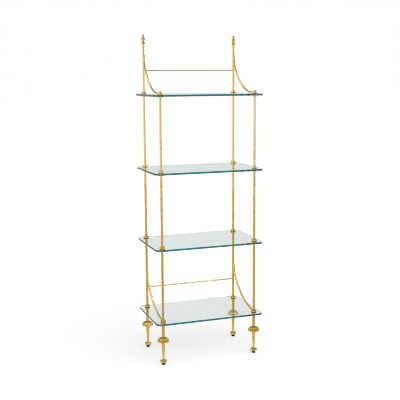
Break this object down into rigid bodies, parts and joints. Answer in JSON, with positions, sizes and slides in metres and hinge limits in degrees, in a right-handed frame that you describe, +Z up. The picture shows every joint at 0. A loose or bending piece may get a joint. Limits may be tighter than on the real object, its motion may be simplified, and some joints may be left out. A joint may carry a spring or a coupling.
{
  "type": "etagere",
  "caption": "Tall open etagere: drilled glass shelves on slender jointed metal posts, with curved side braces, rear rails, turned finials and flower-knop legs on levelling feet.",
  "frame": {"origin": "on the floor, under the middle of the shelves", "axes": "+Z up, -Y towards the front, +X to the right of someone who faces the front"},
  "size_m": [0.625, 0.39, 1.8],
  "materials": {
    "gilt_metal": "antique gold leaf, satin with slight mottling",
    "clear_glass": "clear with polished green edges",
    "black_plastic": "matte moulded",
    "zinc_steel": "zinc plated"
  },
  "bodies": {
    "stand": {"glass_shelf_bottom": "clear_glass", "glass_shelf_lower": "clear_glass", "glass_shelf_upper": "clear_glass", "glass_shelf_top": "clear_glass", "leg_front_left": "gilt_metal", "leg_front_right": "gilt_metal", "leg_rear_left": "gilt_metal", "leg_rear_right": "gilt_metal", "knop_front_left": "gilt_metal", "knop_front_right": "gilt_metal", "knop_rear_left": "gilt_metal", "knop_rear_right": "gilt_metal", "collar_front_left_bottom_shelf": "gilt_metal", "collar_front_left_lower_shelf": "gilt_metal", "collar_front_left_upper_shelf": "gilt_metal", "collar_front_right_bottom_shelf": "gilt_metal", "collar_front_right_lower_shelf": "gilt_metal", "collar_front_right_upper_shelf": "gilt_metal", "collar_rear_left_bottom_shelf": "gilt_metal", "collar_rear_left_lower_shelf": "gilt_metal", "collar_rear_left_upper_shelf": "gilt_metal", "collar_rear_left_top_shelf": "gilt_metal", "collar_rear_right_bottom_shelf": "gilt_metal", "collar_rear_right_lower_shelf": "gilt_metal", "collar_rear_right_upper_shelf": "gilt_metal", "collar_rear_right_top_shelf": "gilt_metal", "post_front_left_bottom_bay": "gilt_metal", "post_front_left_middle_bay": "gilt_metal", "post_front_left_top_bay": "gilt_metal", "post_front_right_bottom_bay": "gilt_metal", "post_front_right_middle_bay": "gilt_metal", "post_front_right_top_bay": "gilt_metal", "post_rear_left_bottom_bay": "gilt_metal", "post_rear_left_middle_bay": "gilt_metal", "post_rear_left_top_bay": "gilt_metal", "post_rear_right_bottom_bay": "gilt_metal", "post_rear_right_middle_bay": "gilt_metal", "post_rear_right_top_bay": "gilt_metal", "cap_front_left": "gilt_metal", "cap_front_right": "gilt_metal", "upright_rear_left": "gilt_metal", "upright_rear_right": "gilt_metal", "finial_rear_left": "gilt_metal", "finial_rear_right": "gilt_metal", "brace_bottom_left": "gilt_metal", "brace_bottom_right": "gilt_metal", "brace_top_left": "gilt_metal", "brace_top_right": "gilt_metal", "rail_bottom_rear": "gilt_metal", "rail_top_rear": "gilt_metal"},
    "pad_front_left": {"leveller_pad_front_left": "black_plastic"},
    "pad_front_right": {"leveller_pad_front_right": "black_plastic"},
    "pad_rear_left": {"leveller_pad_rear_left": "black_plastic"},
    "pad_rear_right": {"leveller_pad_rear_right": "black_plastic"},
    "stud_front_left": {"leveller_stud_front_left": "zinc_steel"},
    "stud_front_right": {"leveller_stud_front_right": "zinc_steel"},
    "stud_rear_left": {"leveller_stud_rear_left": "zinc_steel"},
    "stud_rear_right": {"leveller_stud_rear_right": "zinc_steel"}
  },
  "joints": [
    {"name": "foot_travel_front_left", "type": "slide", "parent": "stand", "child": "pad_front_left", "axis": [0, 0, -1], "range_m": [0, 0.008]},
    {"name": "foot_screw_front_left", "type": "hinge", "parent": "pad_front_left", "child": "stud_front_left", "pos_m": [-0.27, -0.155, 0.0135], "axis": [0, 0, -1], "range_deg": [0, 2304]},
    {"name": "foot_travel_front_right", "type": "slide", "parent": "stand", "child": "pad_front_right", "axis": [0, 0, -1], "range_m": [0, 0.008]},
    {"name": "foot_screw_front_right", "type": "hinge", "parent": "pad_front_right", "child": "stud_front_right", "pos_m": [0.27, -0.155, 0.0135], "axis": [0, 0, -1], "range_deg": [0, 2304]},
    {"name": "foot_travel_rear_left", "type": "slide", "parent": "stand", "child": "pad_rear_left", "axis": [0, 0, -1], "range_m": [0, 0.008]},
    {"name": "foot_screw_rear_left", "type": "hinge", "parent": "pad_rear_left", "child": "stud_rear_left", "pos_m": [-0.27, 0.155, 0.0135], "axis": [0, 0, -1], "range_deg": [0, 2304]},
    {"name": "foot_travel_rear_right", "type": "slide", "parent": "stand", "child": "pad_rear_right", "axis": [0, 0, -1], "range_m": [0, 0.008]},
    {"name": "foot_screw_rear_right", "type": "hinge", "parent": "pad_rear_right", "child": "stud_rear_right", "pos_m": [0.27, 0.155, 0.0135], "axis": [0, 0, -1], "range_deg": [0, 2304]}
  ],
  "couplings": [
    {"joint": "foot_screw_front_left", "follows": "foot_travel_front_left", "rad_per_m": 5026.5},
    {"joint": "foot_screw_front_right", "follows": "foot_travel_front_right", "rad_per_m": 5026.5},
    {"joint": "foot_screw_rear_left", "follows": "foot_travel_rear_left", "rad_per_m": 5026.5},
    {"joint": "foot_screw_rear_right", "follows": "foot_travel_rear_right", "rad_per_m": 5026.5}
  ]
}
